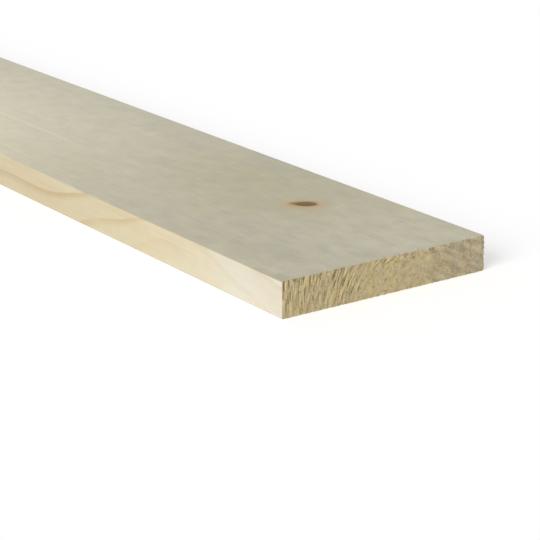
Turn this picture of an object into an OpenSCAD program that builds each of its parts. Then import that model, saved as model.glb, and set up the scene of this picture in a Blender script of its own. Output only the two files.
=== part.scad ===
// Planed softwood plank: one straight board, planed on four sides, with its
// long arrises eased and its two ends cut square by the saw.
//
// The board lies flat. X runs along its length, Y across its face and Z up.
// The origin is the centre of the underside.

/* [Plank] */
// Length from saw cut to saw cut
plank_length = 1800; // [300:10:6000]
// Width of the planed face
plank_width = 145; // [45:1:300]
// Thickness between the two planed faces
plank_thickness = 22; // [12:0.5:75]

/* [Arrises] */
// Radius that eases the four long arrises
arris_radius = 0.8; // [0.2:0.1:5]

/* [Hidden] */

// Facets of one full turn of an arris
arris_facets = 64;

// Centres of the arris arcs, counted from the middle of the section
arc_y = plank_width / 2 - arris_radius;
arc_z = plank_thickness / 2 - arris_radius;

// Cross section of the board about its own centre: two crossed rectangles
// carry the planed faces and edges, and a round in each corner eases the arris.
module board_section() {
    square([plank_width, 2 * arc_z], center = true);
    square([2 * arc_y, plank_thickness], center = true);
    for (side = [-1, 1], level = [-1, 1])
        translate([side * arc_y, level * arc_z])
            circle(r = arris_radius, $fn = arris_facets);
}

// The whole board, lying on its underside.
module plank() {
    color("wheat")
        translate([0, 0, plank_thickness / 2])
            rotate([90, 0, 90])
                linear_extrude(height = plank_length, center = true)
                    board_section();
}

plank();
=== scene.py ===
"""Looks of a planed softwood plank: one straight board with eased arrises, one knot and two rough saw cuts.

X runs along the grain, Y across the upper face and Z up, in metres. The board lies on its underside.
"""

import logging
import math
from dataclasses import dataclass, field
from enum import Enum

import bmesh
import bpy
from mathutils import Color, Matrix, Vector, noise


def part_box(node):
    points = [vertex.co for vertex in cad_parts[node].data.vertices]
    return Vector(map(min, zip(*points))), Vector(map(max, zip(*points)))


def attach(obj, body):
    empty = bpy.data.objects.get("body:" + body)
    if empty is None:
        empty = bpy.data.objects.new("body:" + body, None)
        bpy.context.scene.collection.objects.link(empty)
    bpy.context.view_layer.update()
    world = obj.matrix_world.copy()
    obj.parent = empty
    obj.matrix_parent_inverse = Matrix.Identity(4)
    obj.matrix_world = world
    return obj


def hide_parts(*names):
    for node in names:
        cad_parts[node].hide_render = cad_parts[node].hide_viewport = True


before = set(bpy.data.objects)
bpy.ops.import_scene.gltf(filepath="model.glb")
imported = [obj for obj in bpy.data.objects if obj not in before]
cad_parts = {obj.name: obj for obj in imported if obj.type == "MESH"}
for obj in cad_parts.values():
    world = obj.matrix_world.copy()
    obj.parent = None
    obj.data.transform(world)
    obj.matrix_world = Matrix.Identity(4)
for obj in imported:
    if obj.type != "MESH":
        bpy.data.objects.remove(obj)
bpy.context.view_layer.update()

LOG = logging.getLogger("plank")
MM = 0.001
BRIGHTEST = 255
NOISE_MIDDLE = 0.5
LAYER_FADE = 1.0
LAYER_STEP = 2.0
TORN = "torn"
Colour = tuple[int, int, int]
Scale = tuple[float, float, float]
Span = tuple[float, float]


class Side(Enum):
    """The six surfaces of a sawn board, each with its outward direction."""

    UPPER_FACE = (0.0, 0.0, 1.0)
    UNDER_FACE = (0.0, 0.0, -1.0)
    NEAR_EDGE = (0.0, -1.0, 0.0)
    FAR_EDGE = (0.0, 1.0, 0.0)
    FRONT_END = (1.0, 0.0, 0.0)
    BACK_END = (-1.0, 0.0, 0.0)

    @property
    def is_face(self) -> bool:
        """True for the two broad planed faces."""
        return self in (Side.UPPER_FACE, Side.UNDER_FACE)

    @property
    def is_end(self) -> bool:
        """True for the two saw cuts."""
        return self in (Side.FRONT_END, Side.BACK_END)

    @classmethod
    def facing(cls, normal: Vector) -> "Side":
        """The surface that a part of the board belongs to by its outward direction."""
        return max(cls, key=lambda side: normal.dot(side.value))


def paint(colour: Colour) -> tuple[float, ...]:
    """Turns a colour as a screen shows it into the shader's linear values, with a full alpha."""
    shown = Color([part / BRIGHTEST for part in colour])
    return (*shown.from_srgb_to_scene_linear(), 1.0)


def rough(place: Vector, layers: int = 2) -> float:
    """Random roughness round 0 at a place, in layers that are each twice as fine as the last."""
    return noise.fractal(place, LAYER_FADE, LAYER_STEP, layers)


def between(start: float, end: float, share: "Source") -> "Source":
    """Goes evenly from start to end as the share rises from 0 to 1."""
    return share * (end - start) + start


def turned(bearing: float, along: "Source", across: "Source") -> tuple["Source", "Source"]:
    """Measures two offsets at right angles along a bearing and across it."""
    cos, sin = math.cos(bearing), math.sin(bearing)
    return along * cos + across * sin, across * cos - along * sin


def stand(name: str, data: bpy.types.ID) -> bpy.types.Object:
    """Puts a new thing in the scene, at the origin.

    Args:
        name: Its name.
        data: Its mesh, lamp or camera.

    Returns:
        Its object.
    """
    made = bpy.data.objects.new(name, data)
    bpy.context.scene.collection.objects.link(made)
    return made


class PlainSums:
    """The arithmetic of the grain's formulas on plain numbers, under the names that a node sheet uses."""

    def sine(self, angle: float) -> float:
        """The sine of an angle."""
        return math.sin(angle)

    def fraction(self, value: float) -> float:
        """What a value has beyond its whole number."""
        return value % 1.0

    def length(self, first: float, second: float) -> float:
        """The distance that two offsets at right angles span."""
        return math.hypot(first, second)

    def angle(self, rise: float, run: float) -> float:
        """The angle of a slope from its rise and its run."""
        return math.atan2(rise, run)

    def hump(self, offset: float, reach: float) -> float:
        """A soft hump of height 1 that fades as the offset nears and passes the reach."""
        return math.exp(-((offset / reach) ** 2))

    def smooth_step(self, value: float, low: float, high: float) -> float:
        """Rises smoothly from 0 at low to 1 at high."""
        share = min(1.0, max(0.0, (value - low) / (high - low)))
        return share * share * (3 - 2 * share)


PLAIN = PlainSums()


@dataclass(frozen=True)
class Signal:
    """A value that varies over a surface, which arithmetic joins into patterns."""

    sheet: "NodeSheet"
    socket: bpy.types.NodeSocket

    def __add__(self, other: "Source") -> "Signal":
        """Adds a signal or a number."""
        return self.sheet.math("ADD", self, other)

    def __sub__(self, other: "Source") -> "Signal":
        """Takes away a signal or a number."""
        return self.sheet.math("SUBTRACT", self, other)

    def __rsub__(self, other: "Source") -> "Signal":
        """Takes this signal away from a number."""
        return self.sheet.math("SUBTRACT", other, self)

    def __mul__(self, other: "Source") -> "Signal":
        """Multiplies by a signal or a number."""
        return self.sheet.math("MULTIPLY", self, other)

    def __truediv__(self, other: "Source") -> "Signal":
        """Divides by a signal or a number."""
        return self.sheet.math("DIVIDE", self, other)

    __radd__ = __add__


Source = Signal | float
Feed = Source | tuple[float, ...]
Feeds = dict[int | str, Feed]


@dataclass(frozen=True)
class Variation:
    """A random variation: repeats to a metre, finer layers, and where its spots begin and are full."""

    scale: Scale
    layers: float = 2.0
    grit: float = 0.5
    span: Span = (0.0, NOISE_MIDDLE)


@dataclass(frozen=True)
class Coat:
    """A tint that a pattern lays over the wood, and how much of it shows at the most."""

    tint: Colour
    share: float = 1.0


class NodeSheet:
    """Adds nodes to one shader node tree and joins them."""

    MIX_INPUTS = (0, 6, 7)
    MIX_RESULT = 2

    def __init__(self, tree: bpy.types.NodeTree) -> None:
        """Starts on a tree."""
        self.tree = tree

    def feed(self, socket: bpy.types.NodeSocket, source: Feed) -> None:
        """Joins a signal to an input, or sets a plain value on it.

        Args:
            socket: The input.
            source: What goes into it.
        """
        if isinstance(source, Signal):
            self.tree.links.new(source.socket, socket)
        else:
            socket.default_value = source

    def node(self, kind: str, feeds: Feeds, **options: object) -> bpy.types.Node:
        """Adds one node and feeds it.

        Args:
            kind: Blender's name for the type of node.
            feeds: What goes into its inputs, by their numbers or names.
            options: Options of that node, by name.

        Returns:
            The new node.
        """
        made = self.tree.nodes.new(kind)
        for name, value in options.items():
            setattr(made, name, value)
        for key, source in feeds.items():
            self.feed(made.inputs[key], source)
        return made

    def step(self, kind: str, feeds: Feeds, result: int | str = 0, **options: object) -> Signal:
        """Adds one node, feeds it and takes one of its results."""
        return Signal(self, self.node(kind, feeds, **options).outputs[result])

    def math(self, operation: str, *sources: Source) -> Signal:
        """Works out one step of arithmetic, under Blender's name for it."""
        return self.step("ShaderNodeMath", dict(enumerate(sources)), operation=operation)

    def sine(self, angle: Source) -> Signal:
        """The sine of an angle."""
        return self.math("SINE", angle)

    def fraction(self, value: Source) -> Signal:
        """What a value has beyond its whole number."""
        return self.math("FRACT", value)

    def length(self, first: Signal, second: Signal) -> Signal:
        """The distance that two offsets at right angles span."""
        return self.math("SQRT", first * first + second * second)

    def angle(self, rise: Signal, run: Signal) -> Signal:
        """The angle of a slope from its rise and its run."""
        return self.math("ARCTAN2", rise, run)

    def hump(self, offset: Signal, reach: float) -> Signal:
        """A soft hump of height 1 that fades as the offset nears and passes the reach."""
        share = offset / reach
        return self.math("EXPONENT", share * share * -1.0)

    def smooth_step(self, value: Source, low: float, high: float) -> Signal:
        """Rises smoothly from 0 at low to 1 at high."""
        feeds = {"Value": value, "From Min": low, "From Max": high}
        return self.step("ShaderNodeMapRange", feeds, interpolation_type="SMOOTHSTEP")

    def axes(self, position: Signal) -> tuple[Signal, ...]:
        """Splits a position into X, Y and Z."""
        made = self.node("ShaderNodeSeparateXYZ", {0: position})
        return tuple(Signal(self, socket) for socket in made.outputs)

    def vector(self, *axes: Source) -> Signal:
        """Joins X, Y and Z into a position."""
        return self.step("ShaderNodeCombineXYZ", dict(enumerate(axes)))

    def noise(self, position: Signal, grain: Variation) -> Signal:
        """Reads a random variation.

        Args:
            position: Where on the board.
            grain: The variation.

        Returns:
            A value round 0, within a half of it.
        """
        place = self.step("ShaderNodeVectorMath", {0: position, 1: grain.scale}, operation="MULTIPLY")
        feeds = {"Vector": place, "Scale": 1.0, "Detail": grain.layers, "Roughness": grain.grit}
        return self.step("ShaderNodeTexNoise", feeds) - NOISE_MIDDLE

    def spots(self, position: Signal, grain: Variation) -> Signal:
        """Spots where a random variation rises through its span, from 0 to 1."""
        return self.smooth_step(self.noise(position, grain), *grain.span)

    def coats(self, under: Signal | Colour, *layers: tuple[Signal, Coat]) -> Signal:
        """Lays coats over a colour, one after another.

        Args:
            under: The colour below, or a signal of it.
            layers: Where each coat lies, from 0 to 1, and the coat.

        Returns:
            The mixed colour.
        """
        colour = paint(under) if isinstance(under, tuple) else under
        for mask, coat in layers:
            feeds = dict(zip(self.MIX_INPUTS, (mask * coat.share, colour, paint(coat.tint))))
            colour = self.step("ShaderNodeMix", feeds, self.MIX_RESULT, data_type="RGBA")
        return colour

    def shaded(self, colour: Signal, level: Signal) -> Signal:
        """Makes a colour darker or lighter by a level round 1."""
        return self.step("ShaderNodeVectorMath", {0: colour, "Scale": level}, operation="SCALE")

    def place(self, group: "Pattern", position: Signal, **values: float) -> dict[str, Signal]:
        """Reads a pattern at a position, with values for its other inputs, and gives its results by name."""
        made = self.node("ShaderNodeGroup", {"Position": position, **values}, node_tree=group.tree)
        return {socket.name: Signal(self, socket) for socket in made.outputs}


Sums = NodeSheet | PlainSums


class Pattern:
    """A shader node group with named inputs and outputs that several finishes share."""

    def __init__(self, name: str, **inputs: float) -> None:
        """Starts the group.

        Args:
            name: Name of the pattern.
            inputs: Names of the numbers that it takes beside the position, with their usual values.
        """
        self.tree = bpy.data.node_groups.new(name, "ShaderNodeTree")
        self.sheet = NodeSheet(self.tree)
        sockets = self.tree.interface
        sockets.new_socket(name="Position", in_out="INPUT", socket_type="NodeSocketVector")
        for key, value in inputs.items():
            sockets.new_socket(name=key, in_out="INPUT", socket_type="NodeSocketFloat").default_value = value
        self._entry = self.sheet.node("NodeGroupInput", {})
        self._exit = self.sheet.node("NodeGroupOutput", {})

    def given(self, key: str) -> Signal:
        """An input, to build with."""
        return Signal(self.sheet, self._entry.outputs[key])

    def give(self, **results: Signal) -> None:
        """Adds an output for each finished value.

        Args:
            results: The values, by the names of their outputs.
        """
        for key, signal in results.items():
            self.tree.interface.new_socket(name=key, in_out="OUTPUT", socket_type="NodeSocketFloat")
            self.sheet.feed(self._exit.inputs[key], signal)


class MaterialSheet(NodeSheet):
    """The node sheet of one material, with its shader."""

    def __init__(self, name: str) -> None:
        """Starts a material.

        Args:
            name: Name of the material.
        """
        self.material = bpy.data.materials.new(name)
        self.material.use_nodes = True
        super().__init__(self.material.node_tree)
        self.shader = self.tree.nodes["Principled BSDF"]

    def position(self) -> Signal:
        """Where on the board a point lies."""
        return self.step("ShaderNodeTexCoord", {}, "Object")

    def attribute(self, name: str) -> Signal:
        """Reads a value that the mesh itself holds."""
        return self.step("ShaderNodeAttribute", {}, "Fac", attribute_name=name)

    def surface(self, key: str, source: Feed) -> None:
        """Sets an input of the shader."""
        self.feed(self.shader.inputs[key], source)

    def relief(self, height: Signal, depth: float) -> None:
        """Gives the shader fine relief from a height, with the depth in metres that a height of 1 has."""
        self.surface("Normal", self.step("ShaderNodeBump", {"Distance": depth, "Height": height}))


@dataclass(frozen=True)
class Timber:
    """The part of the tree that the board was sawn from: pith, yearly rings and a whorl of branches."""

    front: float
    length: float
    pith_y: float = 10 * MM
    pith_z: float = -15 * MM
    ring_width: float = 4.66 * MM
    unevenness: float = 0.57
    beat: float = 0.274
    beat_start: float = -2.21
    first_ring: float = 0.24
    bend: float = 9 * MM
    bends: float = 1.3
    cone: float = 5 * MM
    whorl_back: float = 119 * MM
    whorl_reach: float = 88 * MM
    whorl_swell: float = 11 * MM
    ripple: float = 0.84 * MM
    ripple_pitch: float = 105 * MM
    ripple_start: float = 0.96
    ripple_reach: float = 170 * MM
    branch_swell: float = 3.5 * MM
    branch_reach: float = 13 * MM
    late_start: float = 0.68
    late_full: float = 0.91
    late_end: float = 0.965
    young_rings: Span = (5.0, 8.0)
    blurring: Span = (-26 * MM, -10 * MM)
    blurred_share: float = 0.08
    waver: float = 1.0 * MM
    waver_grain: Variation = Variation((5.0, 60.0, 60.0))
    vigour_seed: float = 173.0

    def count(self, sums: Sums, x: Source, y: Source, z: Source, swell: Source = 0.0) -> Source:
        """Counts the yearly rings from the pith to a point.

        Args:
            sums: Arithmetic that suits the values.
            x: Place along the board.
            y: Place across the board.
            z: Height in the board.
            swell: How far the rings are pushed out there, beside the swelling of the whorl.

        Returns:
            The number of rings, with its fraction rising through each year.
        """
        back = self.front - x
        share = back / self.length
        stray = sums.sine(share * (math.tau * self.bends)) * share * share * self.bend
        radius = sums.length(y - self.pith_y - stray, z - self.pith_z)
        from_whorl = back - self.whorl_back
        whorl = sums.hump(from_whorl, self.whorl_reach) * self.whorl_swell
        wave = sums.sine(back * (math.tau / self.ripple_pitch) + self.ripple_start) * self.ripple
        pushed = whorl + wave * sums.hump(from_whorl, self.ripple_reach) + swell
        years = (radius - pushed - share * share * self.cone) / self.ring_width
        return years + sums.sine(years * self.beat + self.beat_start) * self.unevenness + self.first_ring

    def ring_place(self, sums: Sums, count: Source, y: Source, z: Source) -> tuple[Source, Source]:
        """Where a point lies across the rings and along its own ring, in metres."""
        across = count * self.ring_width
        return across, across * sums.angle(z - self.pith_z, y - self.pith_y)

    def season(self, sums: Sums, count: Source, rise: Span, fall: Span) -> Source:
        """How much there is of a wood that grows between two parts of each year, from 0 to 1."""
        phase = sums.fraction(count)
        return sums.smooth_step(phase, *rise) * (1.0 - sums.smooth_step(phase, *fall))

    def earlywood(self, sums: Sums, count: Source) -> Source:
        """How much of a year's soft, pale wood there is at a count of rings, from 0 to 1."""
        return self.season(sums, count, (0.0, self.late_start), (self.late_start, self.late_end))

    def latewood(self, sums: Sums, count: Source) -> Source:
        """How much of a year's dense, dark wood there is at a count of rings, from 0 to 1."""
        return self.season(sums, count, (self.late_start, self.late_full), (self.late_end, 1.0))

    def clearness(self, sums: Sums, y: Source) -> Source:
        """How plainly a saw cut shows the rings at a place across the board, from 0 to 1."""
        return between(1.0, self.blurred_share, sums.smooth_step(y, *self.blurring))

    def pattern(self, knot: Pattern) -> Pattern:
        """Builds the growth rings.

        Args:
            knot: The knot that the rings swell round.

        Returns:
            A group that gives the dark latewood, which hardly shows in the first years, how plainly a saw cut
            shows it, the place across the rings and along them, and a shade and a strength for each year.
        """
        group = Pattern("growth_rings", Waver=self.waver)
        sheet = group.sheet
        position = group.given("Position")
        branch = sheet.hump(sheet.place(knot, position)["Spread"], self.branch_reach) * self.branch_swell
        waver = sheet.noise(position, self.waver_grain) * group.given("Waver")
        x, y, z = sheet.axes(position)
        count = self.count(sheet, x, y, z, branch + waver)
        grown = sheet.smooth_step(count, *self.young_rings)
        across, along = self.ring_place(sheet, count, y, z)
        group.give(Latewood=self.latewood(sheet, count) * grown, Clear=self.clearness(sheet, y))
        group.give(Across=across, Along=along)
        whole = sheet.math("FLOOR", count)
        for key, seed in {"Year": 0.0, "Vigour": self.vigour_seed}.items():
            drawn = sheet.step("ShaderNodeTexWhiteNoise", {"W": whole + seed}, noise_dimensions="1D")
            group.give(**{key: drawn})
        return group


@dataclass(frozen=True)
class Knot:
    """The stub of a branch, a cone that grows from the pith and comes out on the upper face."""

    timber: Timber
    top: float
    back: float = 115 * MM
    across: float = 26 * MM
    radius: float = 5.1 * MM
    stretch: float = 1.17
    bearing: float = math.radians(50)
    softness: float = 1.3 * MM
    tail: float = 3.2 * MM
    tail_sharpness: float = 8.0
    tail_softness: float = 3.2 * MM
    halo: float = 14.0 * MM
    halo_x: float = 1.5 * MM
    halo_y: float = -2.0 * MM
    stain_length: float = 85 * MM
    stain_width: float = 46 * MM
    stain_back: float = 62 * MM
    ripple: float = 2.0 * MM
    ripple_grain: Variation = Variation((420.0, 420.0, 60.0))
    ring_pitch: float = 1.5 * MM
    ring_strength: float = 0.5
    speck_grain: Variation = Variation((900.0, 900.0, 200.0))
    speck_strength: float = 2.0
    groove_depth: float = 0.25 * MM
    groove_width: float = 0.8 * MM
    dish_depth: float = 0.12 * MM
    tiny: float = 0.01 * MM

    @property
    def place(self) -> Vector:
        """Middle of the knot on the upper face."""
        return Vector((self.timber.front - self.back, self.across, self.top))

    def rise(self, z: Source) -> Source:
        """How far the branch has grown at a height, from 0 at the pith to 1 at the upper face."""
        return (z - self.timber.pith_z) / (self.top - self.timber.pith_z)

    def heart_y(self, z: Source) -> Source:
        """Where the branch's heart lies across the board at a height."""
        return between(self.timber.pith_y, self.across, self.rise(z))

    def offsets(self, x: Source, y: Source, z: Source) -> tuple[Source, Source]:
        """How far a point lies from the branch's heart, along the knot's oval and across it."""
        return turned(self.bearing, x - self.place.x, y - self.heart_y(z))

    def spread(self, sums: Sums, x: Source, y: Source, z: Source) -> Source:
        """Distance from the branch's heart, as it would measure on the upper face of a round knot."""
        along, across = self.offsets(x, y, z)
        return sums.length(along / self.stretch, across * self.stretch) / self.rise(z)

    def relief(self, point: Vector) -> float:
        """Works out how deep the knot's dish and the bark groove round it are.

        Args:
            point: A point on the upper face.

        Returns:
            The depth in metres.
        """
        away = self.spread(PLAIN, *point)
        groove = PLAIN.hump(away - self.radius, self.groove_width)
        dish = 1 - PLAIN.smooth_step(away, 0.0, self.radius)
        return self.groove_depth * groove + self.dish_depth * dish

    def pattern(self) -> Pattern:
        """Builds the knot's masks.

        Returns:
            A group that gives the core, the tail, the halo, the bark rim, the wide stain, the branch's own
            rings, the spread from its heart, and the place across the grain that fibres keep round it.
        """
        group = Pattern("branch_knot")
        sheet = group.sheet
        position = group.given("Position")
        x, y, z = sheet.axes(position)
        along, across = self.offsets(x, y, z)
        away = sheet.math("MAXIMUM", sheet.length(along, across), self.tiny)
        pointing = sheet.math("MAXIMUM", along / away * -1.0, 0.0)
        tail = sheet.math("POWER", pointing, self.tail_sharpness) * self.tail
        uneven = sheet.noise(position, self.ripple_grain) * self.ripple
        spread = self.spread(sheet, x, y, z)
        border = spread + uneven
        fades = {
            "Core": (border, self.softness),
            "Tail": (border - tail, self.tail_softness),
            "Halo": (self.spread(sheet, x - self.halo_x, y - self.halo_y, z) + uneven, self.halo),
        }
        for key, (distance, reach) in fades.items():
            outside = sheet.smooth_step(distance, self.radius - self.softness, self.radius + reach)
            group.give(**{key: 1.0 - outside})
        heart = self.heart_y(z)
        behind = sheet.hump(x - self.place.x + self.stain_back, self.stain_length)
        rings = sheet.sine(border * (math.tau / self.ring_pitch)) * self.ring_strength
        square = spread * spread
        group.give(
            Rim=sheet.hump(border - self.radius, self.groove_width),
            Stain=behind * sheet.hump(y - heart, self.stain_width),
            Rings=rings + sheet.noise(position, self.speck_grain) * self.speck_strength,
            Spread=spread,
            Flow=heart + (y - heart) * (square / (square + self.radius * self.radius)),
        )
        return group


@dataclass(frozen=True)
class Fibres:
    """The wood's fibres, which run along the board and flow round the knot."""

    patch: Variation = Variation((75.0, 110.0, 110.0), layers=3.0)
    blush: Variation = Variation((11.0, 26.0, 26.0), span=(-0.06, 0.18))
    broad: Variation = Variation((2.6, 170.0, 170.0), layers=3.0)
    middle: Variation = Variation((8.0, 420.0, 420.0))
    fine: Variation = Variation((18.0, 1500.0, 1500.0))
    fleck: Variation = Variation((38.0, 800.0, 800.0), layers=1.0, span=(0.18, 0.28))

    def pattern(self, knot: Pattern) -> Pattern:
        """Builds the streaks.

        Args:
            knot: The knot that the fibres flow round.

        Returns:
            A group that gives soft patches and broad, middling and fine streaks, all round 0, and clouds of
            another tint and short dark flecks, from 0 to 1.
        """
        group = Pattern("fibre_streaks")
        sheet = group.sheet
        position = group.given("Position")
        x, _, z = sheet.axes(position)
        flowing = sheet.vector(x, sheet.place(knot, position)["Flow"], z)
        group.give(
            Patch=sheet.noise(position, self.patch),
            Blush=sheet.spots(position, self.blush),
            Broad=sheet.noise(flowing, self.broad),
            Middle=sheet.noise(flowing, self.middle),
            Fine=sheet.noise(flowing, self.fine),
            Fleck=sheet.spots(flowing, self.fleck),
        )
        return group


@dataclass(frozen=True)
class Grain:
    """The patterns that every finish of the board draws on."""

    knot: Pattern
    rings: Pattern
    fibres: Pattern

    @classmethod
    def of(cls, timber: Timber, knot: Knot, fibres: Fibres) -> "Grain":
        """Builds the patterns of one board."""
        branch = knot.pattern()
        return cls(branch, timber.pattern(branch), fibres.pattern(branch))


@dataclass(frozen=True)
class Streak:
    """A streak or soft cloud that darkens or lightens the upper face: darker or paler wood, and in one broad
    cloud painted sheen.
    """

    back: float
    across: float
    half_length: float
    half_width: float
    level: float
    depth: float = 4 * MM

    def shade(self, sheet: NodeSheet, back: Signal, across: Signal, up: Signal) -> Signal:
        """Works out how much the streak lightens or darkens the wood.

        Args:
            sheet: The sheet of the material.
            back: Distance from the front end.
            across: Place across the board.
            up: Height above the upper face.

        Returns:
            What it adds to the level of the colour.
        """
        shade = sheet.hump(back - self.back, self.half_length) * self.level
        for offset, reach in ((across - self.across, self.half_width), (up, self.depth)):
            shade = shade * sheet.hump(offset, reach)
        return shade


def face_streaks() -> tuple[Streak, ...]:
    """Lists the marks of the upper face.

    Returns:
        One thin pale streak, four broad clouds, the broadest of which is painted sheen, and short thin
        streaks that are dark with resin.
    """
    resin = ((61, -20.4, 7), (38, -18, 10), (16, -16.5, 6), (60, 23.5, 9))
    return (
        Streak(back=380 * MM, across=-16.6 * MM, half_length=60 * MM, half_width=1.9 * MM, level=0.11),
        Streak(back=25 * MM, across=-42 * MM, half_length=75 * MM, half_width=30 * MM, level=-0.05),
        Streak(back=230 * MM, across=70 * MM, half_length=130 * MM, half_width=24 * MM, level=-0.09),
        Streak(back=45 * MM, across=48 * MM, half_length=60 * MM, half_width=28 * MM, level=0.05),
        # painted sheen: this broad pale cloud stands in for the sheen towards the back of the upper face,
        # near the near edge
        Streak(back=520 * MM, across=-50 * MM, half_length=190 * MM, half_width=100 * MM, level=0.11),
        *(Streak(back * MM, across * MM, half * MM, 0.7 * MM, -0.10) for back, across, half in resin),
    )


@dataclass(frozen=True)
class PlanedWood:
    """Planed softwood, greyish and cloudy with faint rings and a soft sheen, as on the two broad faces, with
    painted light that lightens it further back and towards the near edge.
    """

    front: float
    top: float
    name: str = "planed_face"
    early: Colour = (195, 187, 157)
    # a tint towards the front end: on the faces the wood's own tone, on the edges painted light
    front_painted_light_and_tone: Coat = Coat((195, 188, 159))
    front_reach: float = 80 * MM
    front_patch: float = 0.16
    blush: Coat = Coat((188, 178, 139), 0.35)
    late: Coat = Coat((172, 150, 104), 0.16)
    ring_least: float = 0.6
    ring_span: Span = (60 * MM, 260 * MM)
    year_fade: float = 0.0
    # painted light: a brightness drift along and across the board that stands in for sheen and lamp fall-off
    painted_light_drift: float = 0.25
    painted_light_tilt: float = 12.0
    painted_light_span: Span = (120 * MM, 520 * MM)
    patch: float = 0.34
    broad: float = 0.04
    middle: float = 0.12
    fine: float = 0.32
    fleck: float = 0.13
    year: float = 0.012
    streaks: tuple[Streak, ...] = face_streaks()
    stain: Coat = Coat((186, 174, 108), 0.43)
    stain_level: float = 0.11
    halo: Coat = Coat((188, 154, 91), 0.92)
    tail: Coat = Coat((150, 126, 82), 0.7)
    core: Coat = Coat((128, 106, 68))
    rim: Coat = Coat((96, 74, 40), 0.5)
    knot_rings: float = 0.3
    broken: Coat = Coat((196, 172, 120), 0.7)
    roughness: float = 0.34
    fine_gloss: float = 0.14
    torn_roughness: float = 0.5
    sheen_level: float = 0.5
    relief: float = 0.05 * MM
    ring_relief: float = 0.5

    def material(self, grain: Grain) -> bpy.types.Material:
        """Builds the finish.

        Args:
            grain: The board's grain.

        Returns:
            The material.
        """
        sheet = MaterialSheet(self.name)
        position = sheet.position()
        rings = sheet.place(grain.rings, position)
        fibres = sheet.place(grain.fibres, position)
        knot = sheet.place(grain.knot, position)
        torn = sheet.attribute(TORN)
        x, y, z = sheet.axes(position)
        back = self.front - x
        # where the front end's tint lies; on the edges it is painted light
        front_painted_light_and_tone = sheet.hump(back, self.front_reach)
        plain = between(self.ring_least, 1.0, sheet.smooth_step(back, *self.ring_span))
        vigour = between(1.0 - self.year_fade, 1.0, rings["Vigour"])
        shown = (fibres["Broad"] + NOISE_MIDDLE) * plain * vigour
        colour = sheet.coats(
            self.early,
            (front_painted_light_and_tone, self.front_painted_light_and_tone),
            (fibres["Blush"], self.blush),
            (knot["Stain"], self.stain),
            (rings["Latewood"] * shown, self.late),
        )
        # painted light: lighter further back and towards the near edge on the faces, darker further back on
        # the edges
        painted_light_drift = (1.0 - y * self.painted_light_tilt) * self.painted_light_drift
        level = 1.0 + sheet.smooth_step(back, *self.painted_light_span) * painted_light_drift
        patch = self.patch + front_painted_light_and_tone * self.front_patch
        shares = {"Patch": patch, "Broad": self.broad, "Middle": self.middle, "Fine": self.fine}
        for key, share in shares.items():
            level = level + fibres[key] * share
        level = level + (rings["Year"] - NOISE_MIDDLE) * self.year
        level = level - fibres["Fleck"] * self.fleck - knot["Stain"] * self.stain_level
        for streak in self.streaks:
            level = level + streak.shade(sheet, back, y, z - self.top)
        colour = sheet.coats(
            sheet.shaded(colour, level),
            (knot["Halo"], self.halo),
            (knot["Tail"], self.tail),
            (knot["Core"], self.core),
            (knot["Rim"], self.rim),
        )
        colour = sheet.shaded(colour, 1.0 + knot["Rings"] * knot["Core"] * self.knot_rings)
        sheet.surface("Base Color", sheet.coats(colour, (torn, self.broken)))
        gloss = self.roughness + fibres["Fine"] * self.fine_gloss
        sheet.surface("Roughness", gloss + (knot["Tail"] + torn) * self.torn_roughness)
        sheet.surface("Specular IOR Level", self.sheen_level)
        sheet.relief(fibres["Fine"] + rings["Latewood"] * self.ring_relief, self.relief)
        return sheet.material


@dataclass(frozen=True)
class PlanedEdge(PlanedWood):
    """The same wood on the two narrow edges: creamy, with plain rings, and paler towards the front end by
    painted light.
    """

    name: str = "planed_edge"
    early: Colour = (219, 206, 171)
    # painted light: the near-white front end stands in for the lamp washing out the edge
    front_painted_light_and_tone: Coat = Coat((228, 224, 209))
    front_reach: float = 84 * MM
    front_patch: float = 0.0
    blush: Coat = Coat((222, 196, 156), 0.42)
    late: Coat = Coat((188, 160, 98), 0.8)
    ring_least: float = 0.32
    year_fade: float = 0.75
    # painted light: the edges get darker further back
    painted_light_drift: float = -0.15
    painted_light_tilt: float = 0.0
    painted_light_span: Span = (0.0, 420 * MM)
    patch: float = 0.12
    broad: float = 0.03
    middle: float = 0.04
    fine: float = 0.17
    fleck: float = 0.08
    year: float = 0.03
    streaks: tuple[Streak, ...] = ()
    roughness: float = 0.5
    relief: float = 0.03 * MM


@dataclass(frozen=True)
class SawMarks:
    """The slanting marks that the saw left towards the far side of a cut."""

    lean: float = math.radians(-28)
    span: Span = (8 * MM, 40 * MM)

    def place(self, y: Source, z: Source) -> tuple[Source, Source]:
        """Where a point of the cut lies along the marks and across them."""
        return turned(self.lean, y, z)

    def strength(self, sums: Sums, y: Source) -> Source:
        """How strongly the marks show at a place across the board, from 0 to 1."""
        return sums.smooth_step(y, *self.span)


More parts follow.
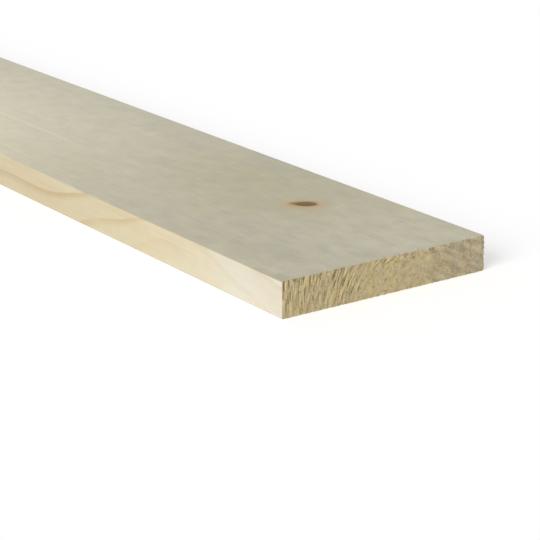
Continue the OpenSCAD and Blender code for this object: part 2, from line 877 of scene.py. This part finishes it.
@dataclass(frozen=True)
class SawnWood:
    """A rough saw cut across the grain: torn pores, dark latewood, pale fuzz, and torn hollows darkened by
    painted shade and dirt.
    """

    name: str = "sawn_end"
    marks: SawMarks = SawMarks()
    early: Colour = (211, 194, 151)
    late: Coat = Coat((156, 130, 82), 0.55)
    smudge_span: Span = (-0.14, 0.1)
    grey: Coat = Coat((183, 176, 157), 0.6)
    grey_span: Span = (5 * MM, 60 * MM)
    warm: Coat = Coat((222, 190, 124), 0.25)
    warm_grain: Variation = Variation((80.0, 130.0, 130.0), span=(-0.15, 0.15))
    fuzz: Coat = Coat((232, 218, 182), 0.4)
    fuzz_grain: Variation = Variation((500.0, 800.0, 600.0), layers=4.0, grit=0.65, span=(0.0, 0.22))
    fuzz_torn: float = 0.2
    # painted shade and dirt in the torn hollows, darker the deeper the cut is torn
    hollow_shade_and_dirt: Coat = Coat((120, 98, 58), 0.6)
    hollow_span: Span = (0.25, 0.75)
    pore_grain: Variation = Variation((700.0, 1000.0, 1000.0), layers=4.0, grit=0.7)
    pore_level: float = 0.5
    mottle_grain: Variation = Variation((200.0, 280.0, 280.0))
    mottle_share: float = 0.72
    mottle_level: float = 1.2
    tear_grain: Variation = Variation((270.0, 240.0, 1.0))
    mark_grain: Variation = Variation((90.0, 260.0, 1.0))
    speck_grain: Variation = Variation((400.0, 620.0, 620.0), layers=1.0, span=(0.08, 0.2))
    speck_level: float = 0.3
    patch_grain: Variation = Variation((60.0, 120.0, 120.0))
    patch_level: float = 0.2
    roughness: float = 0.9
    relief: float = 0.25 * MM

    def material(self, grain: Grain) -> bpy.types.Material:
        """Builds the finish, which also follows how deep each place is torn.

        Args:
            grain: The board's grain.

        Returns:
            The material.
        """
        sheet = MaterialSheet(self.name)
        position = sheet.position()
        rings = sheet.place(grain.rings, position, Waver=0.0)
        torn = sheet.attribute(TORN)
        _, y, z = sheet.axes(position)
        tears = sheet.noise(sheet.vector(rings["Across"], rings["Along"], 0.0), self.tear_grain)
        marks = sheet.noise(sheet.vector(*self.marks.place(y, z), 0.0), self.mark_grain)
        mottle = sheet.noise(position, self.mottle_grain) * self.mottle_share
        for pattern, share in ((tears, rings["Clear"]), (marks, self.marks.strength(sheet, y))):
            mottle = mottle + (pattern - mottle) * share
        shown = sheet.smooth_step(mottle, *self.smudge_span) * rings["Clear"]
        colour = sheet.coats(
            self.early,
            (rings["Latewood"] * shown, self.late),
            (sheet.smooth_step(y, *self.grey_span), self.grey),
            (sheet.spots(position, self.warm_grain), self.warm),
        )
        pore = sheet.noise(position, self.pore_grain)
        fuzz = sheet.noise(position, self.fuzz_grain)
        level = 1.0 + sheet.noise(position, self.patch_grain) * self.patch_level
        level = level - mottle * self.mottle_level + pore * self.pore_level
        level = level - sheet.spots(position, self.speck_grain) * self.speck_level
        # the last coat darkens the torn hollows: painted shade and dirt
        colour = sheet.coats(
            sheet.shaded(colour, level),
            (sheet.smooth_step(fuzz - torn * self.fuzz_torn, *self.fuzz_grain.span), self.fuzz),
            (sheet.smooth_step(torn, *self.hollow_span), self.hollow_shade_and_dirt),
        )
        sheet.surface("Base Color", colour)
        sheet.surface("Roughness", self.roughness)
        sheet.relief(fuzz + pore, self.relief)
        return sheet.material


Finish = PlanedWood | SawnWood


@dataclass(frozen=True)
class Hollows:
    """Random hollows in a saw cut: their depth, their size two ways, and where they begin and are full."""

    depth: float
    size: Span
    span: Span
    layers: int = 1
    seed: float = 0.0

    def share(self, first: float, second: float, third: float, gain: float = 0.0) -> float:
        """How much of their depth they have at a place, from 0 to 1, where a gain makes them deeper."""
        place = Vector((first / self.size[0], second / self.size[1], third + self.seed))
        return PLAIN.smooth_step(rough(place, self.layers) + gain, *self.span)


@dataclass(frozen=True)
class SawCut:
    """The relief that a coarse saw leaves on an end: torn rings, pits, scallops and crumbled arrises."""

    timber: Timber
    low: Vector
    high: Vector
    end_x: float
    marks: SawMarks = SawMarks()
    full_depth: float = 1.0 * MM
    skin: float = 0.12 * MM
    groove_depth: float = 0.42 * MM
    tear: Hollows = Hollows(0.08 * MM, (3.4 * MM, 2.2 * MM), (-0.1, 0.4), layers=2)
    pit: Hollows = Hollows(0.4 * MM, (2.6 * MM, 2.2 * MM), (0.12, 0.55), seed=7.0)
    pit_blur: float = 0.1
    pit_band: float = 9 * MM
    pit_gain: float = 0.12
    pit_deepening: float = 0.4
    pit_far_share: float = 0.4
    calm_share: float = 0.35
    calm_height: float = 11 * MM
    scallop: Hollows = Hollows(0.3 * MM, (8.0 * MM, 3.2 * MM), (-0.5, 0.6))
    fuzz_depth: float = 0.2 * MM
    fuzz_size: float = 1.6 * MM
    crumble_size: float = 2.6 * MM
    crumble_layers: int = 3
    crumble_reach: float = 3.2 * MM
    crumble_span: Span = (-0.2, 0.7)
    crumble_slant: float = 0.65
    worn_share: float = 0.12
    bite_torn: float = 0.15
    upper_crumble: float = 1.2 * MM
    lower_crumble: float = 0.5 * MM
    edge_crumble: float = 0.7 * MM
    firm_share: float = 0.5
    blend_reach: float = 9 * MM

    @property
    def inward(self) -> Vector:
        """The way from this end into the board."""
        return Vector((-math.copysign(1.0, self.end_x), 0.0, 0.0))

    def depth(self, y: float, z: float) -> float:
        """Works out how far the cut lies inside the board's full length at one place.

        Args:
            y: Place across the board.
            z: Height in the board.

        Returns:
            The depth in metres, 0 or more.
        """
        point = Vector((self.end_x, y, z))
        count = self.timber.count(PLAIN, *point)
        place = (*self.timber.ring_place(PLAIN, count, y, z), self.end_x)
        clear = self.timber.clearness(PLAIN, y)
        far = self.marks.strength(PLAIN, y)
        tear = self.tear.share(*place)
        groove = self.groove_depth * self.timber.earlywood(PLAIN, count) * tear
        near_top = PLAIN.smooth_step(z, self.high.z - self.pit_band, self.high.z)
        near_top *= between(1.0, self.pit_far_share, far)
        pit = self.pit.depth * self.pit.share(*place, gain=self.pit_gain * near_top)
        pit *= 1 + self.pit_deepening * near_top
        pitted = between(self.pit_blur, 1.0, max(clear, near_top))
        calm = between(self.calm_share, 1.0, PLAIN.smooth_step(z, self.low.z, self.calm_height))
        torn = groove * clear + (self.tear.depth * tear + pit) * pitted
        scallop = self.scallop.depth * far * self.scallop.share(*self.marks.place(y, z), self.end_x)
        fuzz = self.fuzz_depth * (1 + rough(point / self.fuzz_size)) / 2
        return max(0.0, torn * calm + scallop + fuzz)

    def _bite(self, along: float, rim: float, depth: float) -> float:
        """Works out how much has crumbled from one arris of the cut.

        Args:
            along: Place along the arris.
            rim: Where the arris lies across it.
            depth: The most that crumbles there.

        Returns:
            The depth in metres.
        """
        place = Vector((along, rim, self.end_x)) / self.crumble_size
        broken = PLAIN.smooth_step(rough(place, self.crumble_layers), *self.crumble_span)
        return depth * between(self.worn_share, 1.0, broken)

    def bites(self, point: Vector) -> list[tuple[float, Vector, float]]:
        """Lists what crumbled from the four arrises of the cut beside a point.

        Args:
            point: A point on the surface of the plain board.

        Returns:
            For each arris the distance to its surface, the way into the board and the depth.
        """
        up = Vector((0.0, 0.0, 1.0))
        far = Vector((0.0, 1.0, 0.0))
        upper = self.upper_crumble * between(1.0, self.firm_share, self.timber.clearness(PLAIN, point.y))
        rims = (
            (self.high.z - point.z, -up, point.y, self.high.z, upper),
            (point.z - self.low.z, up, point.y, self.low.z, self.lower_crumble),
            (point.y - self.low.y, far, point.z, self.low.y, self.edge_crumble),
            (self.high.y - point.y, -far, point.z, self.high.y, self.edge_crumble),
        )
        return [(distance, way, self._bite(along, rim, depth)) for distance, way, along, rim, depth in rims]

    def wear(self, point: Vector) -> tuple[Vector, float]:
        """Moves a point of the plain board to where the saw and the break-out left it.

        Args:
            point: A point on the surface of the plain board.

        Returns:
            The step inwards that it takes, and how torn the wood is there, from 0 to 1.
        """
        back = abs(self.end_x - point.x)
        if back > self.blend_reach:
            return Vector(), 0.0
        sunk = self.depth(point.y, point.z)
        step = self.inward * (sunk * (1 - back / self.blend_reach) ** 2)
        torn = sunk if back < self.skin else 0.0
        for distance, way, depth in self.bites(point):
            to_arris = distance + back
            if to_arris < self.crumble_reach:
                bite = depth * (1 - to_arris / self.crumble_reach) ** 2
                step += (self.inward + way) * (bite * self.crumble_slant)
                torn += bite * self.bite_torn
        return step, min(1.0, torn / self.full_depth)


@dataclass(frozen=True)
class StripMap:
    """A square map of the board's surfaces in strips, with each long surface in two halves."""

    low: Vector
    size: Vector
    face_height: float = 0.17
    edge_height: float = 0.045
    end_height: float = 0.10
    end_width: float = 0.5
    margin: float = 0.0044

    NAME = "OFBake"
    EDGE_STRIPS = 4

    def _floor(self, side: Side, front: bool) -> tuple[float, float]:
        """Finds the strip that holds one half of a surface.

        Args:
            side: The surface.
            front: True for the half towards the front end.

        Returns:
            The strip's lower line and its height.
        """
        if side.is_end:
            return self.margin, self.end_height
        floor = 2 * self.margin + self.end_height
        upper = side in (Side.UPPER_FACE, Side.NEAR_EDGE)
        number = (0 if upper else 2) + (0 if front else 1)
        if not side.is_face:
            return floor + number * (self.edge_height + self.margin), self.edge_height
        floor += self.EDGE_STRIPS * (self.edge_height + self.margin)
        return floor + number * (self.face_height + self.margin), self.face_height

    def place(self, side: Side, front: bool, point: Vector) -> tuple[float, float]:
        """Finds where a point of the plain board lies on the map.

        Args:
            side: The surface that it belongs to.
            front: True in the half of the board towards the front end.
            point: The point.

        Returns:
            Its place on the map, across and up.
        """
        floor, height = self._floor(side, front)
        share = Vector([(place - low) / size for place, low, size in zip(point, self.low, self.size)])
        if side.is_end:
            start = self.margin + (self.end_width if side is Side.FRONT_END else 0.0)
            return start + share.y * (self.end_width - 2 * self.margin), floor + share.z * height
        along = share.x * 2 - (1 if front else 0)
        rise = share.y if side.is_face else share.z
        return self.margin + along * (1 - 2 * self.margin), floor + rise * height


@dataclass
class Plank:
    """The board itself, as one closed mesh in the place of its frame node."""

    low: Vector
    high: Vector
    timber: Timber
    knot: Knot
    name: str = "plank_board"
    arris_radius: float = 0.8 * MM
    arris_segments: int = 3
    arris_roundness: float = 0.5
    cell: float = 0.5 * MM
    first_row: float = 0.4 * MM
    row_growth: float = 1.35
    knot_row: float = 0.8 * MM
    knot_margin: float = 6 * MM
    merge: float = 1e-7
    shape: bmesh.types.BMesh = field(default_factory=bmesh.new)

    @property
    def size(self) -> Vector:
        """Length, width and thickness."""
        return self.high - self.low

    @property
    def centre(self) -> Vector:
        """Middle of the board."""
        return (self.high + self.low) / 2

    @property
    def knot_reach(self) -> float:
        """How far from the knot's middle its own relief reaches."""
        return self.knot.radius + self.knot_margin

    def build(self, grain: Grain, finishes: dict[Side, Finish]) -> bpy.types.Object:
        """Builds and dresses the board.

        Args:
            grain: The patterns that its finishes draw on.
            finishes: The finish of each surface.

        Returns:
            The finished piece.
        """
        self._plane_blank()
        self._mark_rows()
        self._mark_cells()
        mesh = bpy.data.meshes.new(self.name)
        self._dress(mesh, grain, finishes)
        self._wear()
        self.shape.to_mesh(mesh)
        self.shape.free()
        return stand(self.name, mesh)

    def _plane_blank(self) -> None:
        """Starts from the sawn blank and eases its four long arrises."""
        sizing = Matrix.Diagonal((*self.size, 1.0))
        bmesh.ops.create_cube(self.shape, size=1.0, matrix=Matrix.Translation(self.centre) @ sizing)
        half = self.size.x / 2
        bmesh.ops.bevel(
            self.shape,
            geom=[e for e in self.shape.edges if abs(e.verts[0].co.x - e.verts[1].co.x) > half],
            offset=self.arris_radius,
            offset_type="OFFSET",
            segments=self.arris_segments,
            profile=self.arris_roundness,
            affect="EDGES",
            material=-1,
        )

    def _slice(self, place: Vector, normal: Vector) -> None:
        """Cuts every face that a plane crosses."""
        geom = [*self.shape.verts, *self.shape.edges, *self.shape.faces]
        bmesh.ops.bisect_plane(self.shape, geom=geom, dist=self.merge, plane_co=place, plane_no=normal)

    def _rows(self) -> list[float]:
        """Plans the rows that the board is cut into.

        Returns:
            Places along the board, close together at the ends and at the knot.
        """
        half = self.size.x / 2
        places = {0.0}
        back = step = self.first_row
        while back < half:
            places |= {half - back, back - half}
            step *= self.row_growth
            back += step
        count = round(2 * self.knot_reach / self.knot_row)
        places |= {self.knot.place.x - self.knot_reach + self.knot_row * i for i in range(count + 1)}
        return sorted(places)

    def _mark_rows(self) -> None:
        """Cuts the blank into rows along its length."""
        for x in self._rows():
            self._slice(Vector((x, 0.0, 0.0)), Vector((1.0, 0.0, 0.0)))

    def _mark_cells(self) -> None:
        """Divides the blank between its arrises into fine cells."""
        for sign in (-1, 1):
            reach = sign * (self.size / 2 - Vector((0.0, self.arris_radius, self.arris_radius)))
            for normal in (Vector((0.0, 1.0, 0.0)), Vector((0.0, 0.0, 1.0))):
                self._slice(self.centre + reach, normal)
        for axis in (1, 2):
            span = self.size[axis] - 2 * self.arris_radius
            shortest = span - self.cell
            edges = [e for e in self.shape.edges if abs(e.verts[0].co[axis] - e.verts[1].co[axis]) > shortest]
            bmesh.ops.subdivide_edges(self.shape, edges=edges, cuts=round(span / self.cell) - 1)

    def _dress(self, mesh: bpy.types.Mesh, grain: Grain, finishes: dict[Side, Finish]) -> None:
        """Gives each face of the plain board its finish and its place on the map.

        Args:
            mesh: Mesh that takes the materials.
            grain: The patterns that the finishes draw on.
            finishes: The finish of each surface.
        """
        kinds = list(dict.fromkeys(finishes.values()))
        for finish in kinds:
            mesh.materials.append(finish.material(grain))
        slots = {side: kinds.index(finish) for side, finish in finishes.items()}
        strips = StripMap(self.low, self.size)
        layer = self.shape.loops.layers.uv.new(StripMap.NAME)
        self.shape.normal_update()
        for face in self.shape.faces:
            side = Side.facing(face.normal)
            face.material_index = slots[side]
            face.smooth = True
            front = face.calc_center_median().x > self.centre.x
            for loop in face.loops:
                loop[layer].uv = strips.place(side, front, loop.vert.co)
        sawn = slots[Side.FRONT_END]
        for edge in self.shape.edges:
            edge.smooth = len({face.material_index == sawn for face in edge.link_faces}) == 1

    def _wear(self) -> None:
        """Roughens both saw cuts, notes how torn they are, and sinks the knot."""
        cuts = [SawCut(self.timber, self.low, self.high, x) for x in (self.low.x, self.high.x)]
        layer = self.shape.verts.layers.float.new(TORN)
        for vert in self.shape.verts:
            point = vert.co.copy()
            for cut in cuts:
                step, torn = cut.wear(point)
                vert.co += step
                vert[layer] = max(vert[layer], torn)
            away = point - self.knot.place
            near = max(abs(away.x), abs(away.y)) < self.knot_reach
            if near and point.z > self.high.z - self.merge:
                vert.co.z -= self.knot.relief(point)


@dataclass(frozen=True)
class Studio:
    """A white floor, a soft lamp and a plain bright room, seen from where the plank shows its front end."""

    room_level: float = 0.40
    lamp_level: float = 0.69
    lamp_bearing: float = math.radians(-67.5)
    lamp_height: float = math.radians(27.8)
    lamp_spread: float = math.radians(35)
    floor_reach: float = 40.0
    floor_segments: int = 64
    floor_grey: float = 0.80
    white: tuple[float, ...] = (1.0, 1.0, 1.0, 1.0)
    camera_stand: Vector = Vector((1.7382, -0.6541, 0.3669))
    camera_heading: float = math.radians(145.61)
    camera_tilt: float = math.radians(-18.33)
    camera_roll: float = math.radians(0.57)
    camera_lens: float = 131.3
    camera_sensor: float = 36.0
    camera_nearest: float = 0.05

    def build(self) -> None:
        """Builds the floor, the room, the lamp and the camera."""
        bpy.context.scene.view_settings.view_transform = "Standard"
        self._lay_floor()
        self._light_room()
        self._hang_lamp()
        self._stand_camera()

    def _seen(self, sheet: NodeSheet) -> Signal:
        """Tells light that goes to the camera from the light that falls on things.

        Args:
            sheet: The sheet of the floor or the room.

        Returns:
            1 for light that goes there straight or by a mirror or glass, and otherwise 0.
        """
        path = sheet.node("ShaderNodeLightPath", {})
        seen = Signal(sheet, path.outputs["Is Camera Ray"])
        for kind in ("Is Glossy Ray", "Is Transmission Ray"):
            seen = sheet.math("MAXIMUM", seen, Signal(sheet, path.outputs[kind]))
        return seen

    def _lay_floor(self) -> None:
        """Lays a pale floor that looks white where no shadow falls."""
        shape = bmesh.new()
        bmesh.ops.create_circle(shape, cap_ends=True, segments=self.floor_segments, radius=self.floor_reach)
        mesh = bpy.data.meshes.new("floor")
        shape.to_mesh(mesh)
        shape.free()
        sheet = MaterialSheet("pale_floor")
        sheet.surface("Base Color", (self.floor_grey, self.floor_grey, self.floor_grey, 1.0))
        sheet.surface("Roughness", 1.0)
        sheet.surface("Specular IOR Level", 0.0)
        sheet.surface("Emission Color", self.white)
        light = self.room_level + self.lamp_level * math.sin(self.lamp_height)
        sheet.surface("Emission Strength", self._seen(sheet) * (1 - self.floor_grey * light))
        mesh.materials.append(sheet.material)
        floor = stand("floor", mesh)

    def _light_room(self) -> None:
        """Lights the room evenly, and shows it white."""
        world = bpy.data.worlds.new("room")
        world.use_nodes = True
        bpy.context.scene.world = world
        sheet = NodeSheet(world.node_tree)
        background = world.node_tree.nodes["Background"]
        sheet.feed(background.inputs["Color"], self.white)
        sheet.feed(background.inputs["Strength"], between(self.room_level, 1.0, self._seen(sheet)))

    def _hang_lamp(self) -> None:
        """Hangs one broad, soft lamp before the near edge."""
        lamp = bpy.data.lights.new("soft_lamp", "SUN")
        lamp.energy = math.pi * self.lamp_level
        lamp.angle = self.lamp_spread
        holder = stand("soft_lamp", lamp)
        holder.visible_glossy = False
        bearing = Matrix.Rotation(self.lamp_bearing + math.pi / 2, 4, "Z")
        tilt = Matrix.Rotation(math.pi / 2 - self.lamp_height, 4, "X")
        holder.matrix_world = bearing @ tilt

    def _stand_camera(self) -> None:
        """Stands the camera before the front end."""
        data = bpy.data.cameras.new("camera")
        data.lens = self.camera_lens
        data.sensor_width = self.camera_sensor
        data.clip_start = self.camera_nearest
        camera = stand("camera", data)
        heading = Matrix.Rotation(self.camera_heading - math.pi / 2, 4, "Z")
        tilt = Matrix.Rotation(math.pi / 2 + self.camera_tilt, 4, "X")
        roll = Matrix.Rotation(-self.camera_roll, 4, "Z")
        camera.matrix_world = Matrix.Translation(self.camera_stand) @ heading @ tilt @ roll
        bpy.context.scene.camera = camera


def main() -> None:
    """Builds the studio and the plank."""
    logging.basicConfig(level=logging.INFO, format="%(name)s: %(message)s")
    Studio().build()
    low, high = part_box("plank")
    timber = Timber(front=high.x, length=high.x - low.x)
    knot = Knot(timber, top=high.z)
    grain = Grain.of(timber, knot, Fibres())
    face = PlanedWood(high.x, high.z)
    edge = PlanedEdge(high.x, high.z)
    sawn = SawnWood()
    finishes = {
        Side.UPPER_FACE: face,
        Side.UNDER_FACE: face,
        Side.NEAR_EDGE: edge,
        Side.FAR_EDGE: edge,
        Side.FRONT_END: sawn,
        Side.BACK_END: sawn,
    }
    piece = Plank(low=low, high=high, timber=timber, knot=knot).build(grain, finishes)
    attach(piece, "root")
    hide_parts("plank")
    LOG.info("%s: %d faces", piece.name, len(piece.data.polygons))


if __name__ == "__main__":
    main()
